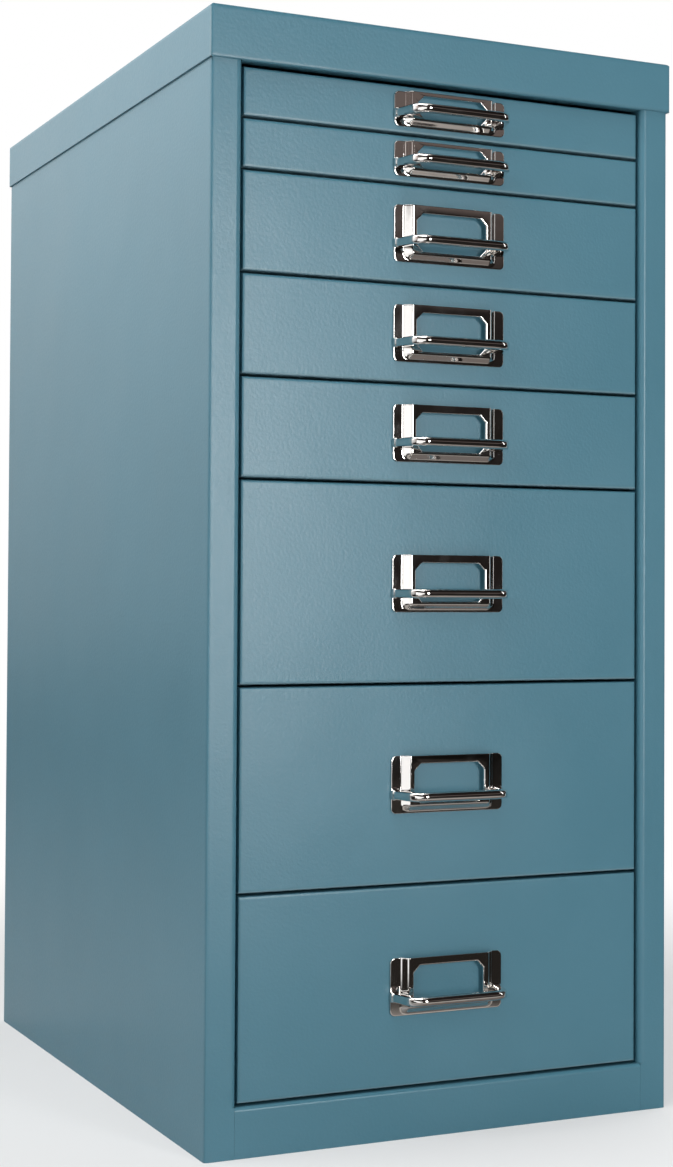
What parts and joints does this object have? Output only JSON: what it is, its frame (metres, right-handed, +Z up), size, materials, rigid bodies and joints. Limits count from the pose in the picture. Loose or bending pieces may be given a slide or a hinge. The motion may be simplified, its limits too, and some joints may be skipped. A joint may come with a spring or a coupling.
{
  "type": "small metal drawer cabinet",
  "caption": "Upright desk-side cabinet of folded sheet steel with a stack of drawers in three heights, each with a chrome label plate and a looped pull.",
  "frame": {"origin": "on the floor, at the centre of the cap's plan", "axes": "+Z up, -Y out of the drawer fronts, +X to the right seen from the front"},
  "size_m": [0.279, 0.396, 0.59],
  "materials": {
    "carcass_paint": "satin blue-teal powder coat with a fine orange-peel",
    "front_paint": "satin blue-teal powder coat",
    "tray_paint": "satin blue-teal powder coat, thinner inside",
    "runner_paint": "satin blue-teal powder coat, rubbed where the rims run",
    "bright_plate": "bright nickel-chrome plate, polished",
    "bright_pull": "bright nickel-chrome plate, polished"
  },
  "bodies": {
    "cabinet": {"top_cap": "carcass_paint", "side_panel_left": "carcass_paint", "side_panel_right": "carcass_paint", "back_panel": "carcass_paint", "base_panel": "carcass_paint", "bottom_rail": "carcass_paint", "top_rail": "carcass_paint", "runner_left_1": "runner_paint", "runner_left_2": "runner_paint", "runner_left_3": "runner_paint", "runner_left_4": "runner_paint", "runner_left_5": "runner_paint", "runner_left_6": "runner_paint", "runner_left_7": "runner_paint", "runner_left_8": "runner_paint", "runner_right_1": "runner_paint", "runner_right_2": "runner_paint", "runner_right_3": "runner_paint", "runner_right_4": "runner_paint", "runner_right_5": "runner_paint", "runner_right_6": "runner_paint", "runner_right_7": "runner_paint", "runner_right_8": "runner_paint"},
    "drawer_1": {"drawer_front_1": "front_paint", "drawer_tray_1": "tray_paint", "label_plate_1": "bright_plate", "pull_1": "bright_pull"},
    "drawer_2": {"drawer_front_2": "front_paint", "drawer_tray_2": "tray_paint", "label_plate_2": "bright_plate", "pull_2": "bright_pull"},
    "drawer_3": {"drawer_front_3": "front_paint", "drawer_tray_3": "tray_paint", "label_plate_3": "bright_plate", "pull_3": "bright_pull"},
    "drawer_4": {"drawer_front_4": "front_paint", "drawer_tray_4": "tray_paint", "label_plate_4": "bright_plate", "pull_4": "bright_pull"},
    "drawer_5": {"drawer_front_5": "front_paint", "drawer_tray_5": "tray_paint", "label_plate_5": "bright_plate", "pull_5": "bright_pull"},
    "drawer_6": {"drawer_front_6": "front_paint", "drawer_tray_6": "tray_paint", "label_plate_6": "bright_plate", "pull_6": "bright_pull"},
    "drawer_7": {"drawer_front_7": "front_paint", "drawer_tray_7": "tray_paint", "label_plate_7": "bright_plate", "pull_7": "bright_pull"},
    "drawer_8": {"drawer_front_8": "front_paint", "drawer_tray_8": "tray_paint", "label_plate_8": "bright_plate", "pull_8": "bright_pull"}
  },
  "joints": [
    {"name": "drawer_1_slide", "type": "slide", "parent": "cabinet", "child": "drawer_1", "axis": [0, -1, 0], "range_m": [0, 0.29]},
    {"name": "drawer_2_slide", "type": "slide", "parent": "cabinet", "child": "drawer_2", "axis": [0, -1, 0], "range_m": [0, 0.29]},
    {"name": "drawer_3_slide", "type": "slide", "parent": "cabinet", "child": "drawer_3", "axis": [0, -1, 0], "range_m": [0, 0.29]},
    {"name": "drawer_4_slide", "type": "slide", "parent": "cabinet", "child": "drawer_4", "axis": [0, -1, 0], "range_m": [0, 0.29]},
    {"name": "drawer_5_slide", "type": "slide", "parent": "cabinet", "child": "drawer_5", "axis": [0, -1, 0], "range_m": [0, 0.29]},
    {"name": "drawer_6_slide", "type": "slide", "parent": "cabinet", "child": "drawer_6", "axis": [0, -1, 0], "range_m": [0, 0.29]},
    {"name": "drawer_7_slide", "type": "slide", "parent": "cabinet", "child": "drawer_7", "axis": [0, -1, 0], "range_m": [0, 0.29]},
    {"name": "drawer_8_slide", "type": "slide", "parent": "cabinet", "child": "drawer_8", "axis": [0, -1, 0], "range_m": [0, 0.29]}
  ]
}
